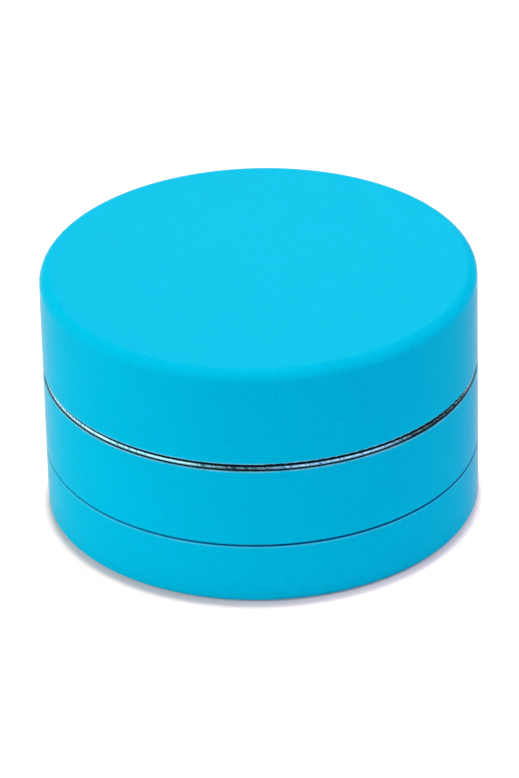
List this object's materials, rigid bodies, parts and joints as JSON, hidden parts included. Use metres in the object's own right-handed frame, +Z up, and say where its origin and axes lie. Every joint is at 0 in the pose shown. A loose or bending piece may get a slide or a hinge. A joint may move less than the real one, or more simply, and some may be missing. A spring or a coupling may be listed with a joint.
{
  "type": "pill crusher",
  "caption": "Round twist-action pill crusher: a toothed lid turns on a toothed plate over a sieve chamber and a screw-on powder cup.",
  "frame": {"origin": "centre of the base cup's underside, where the crusher stands", "axes": "+Z up along the crusher's own axis, from the base cup to the lid; +X is the direction in which both threads start"},
  "size_m": [0.063, 0.063, 0.0372],
  "materials": {
    "coated_aluminium": "matte",
    "bare_aluminium": "satin",
    "stainless_steel": "satin",
    "nickel_plated_magnet": "polished",
    "slip_polymer": "matte",
    "seal_rubber": "matte"
  },
  "bodies": {
    "base": {"base_cup": "coated_aluminium"},
    "base_seal": {"base_seal_ring": "seal_rubber"},
    "chamber": {"sieve_chamber": "coated_aluminium", "sieve_lower_ring": "stainless_steel", "sieve_mesh": "stainless_steel", "sieve_upper_ring": "stainless_steel", "sieve_snap_ring": "stainless_steel"},
    "plate_seal": {"plate_seal_ring": "seal_rubber"},
    "plate": {"grind_plate": "bare_aluminium", "plate_magnet": "nickel_plated_magnet", "plate_magnet_screw": "stainless_steel"},
    "slip_ring": {"lid_slip_ring": "slip_polymer"},
    "lid": {"lid_shell": "coated_aluminium", "lid_tooth_plate": "bare_aluminium", "lid_magnet": "nickel_plated_magnet", "lid_centre_screw": "stainless_steel", "lid_drive_pins": "stainless_steel"}
  },
  "joints": [
    {"name": "base_seal_lift", "type": "slide", "parent": "base", "child": "base_seal", "axis": [0, 0, 1], "range_m": [0, 0.0041]},
    {"name": "chamber_unscrew", "type": "hinge", "parent": "base_seal", "child": "chamber", "pos_m": [0, 0, 0.0093], "axis": [0, 0, 1], "range_deg": [0, 810]},
    {"name": "plate_seal_lift", "type": "slide", "parent": "chamber", "child": "plate_seal", "axis": [0, 0, 1], "range_m": [0, 0.0041]},
    {"name": "plate_unscrew", "type": "hinge", "parent": "plate_seal", "child": "plate", "pos_m": [0, 0, 0.0214], "axis": [0, 0, 1], "range_deg": [0, 810]},
    {"name": "lid_lift", "type": "slide", "parent": "plate", "child": "slip_ring", "axis": [0, 0, 1], "range_m": [0, 0.04]},
    {"name": "lid_turn", "type": "hinge", "parent": "slip_ring", "child": "lid", "pos_m": [0, 0, 0.0226], "axis": [0, 0, 1], "continuous": true}
  ],
  "couplings": [
    {"joint": "base_seal_lift", "follows": "chamber_unscrew", "m_per_rad": 0.00028648},
    {"joint": "plate_seal_lift", "follows": "plate_unscrew", "m_per_rad": 0.00028648}
  ]
}
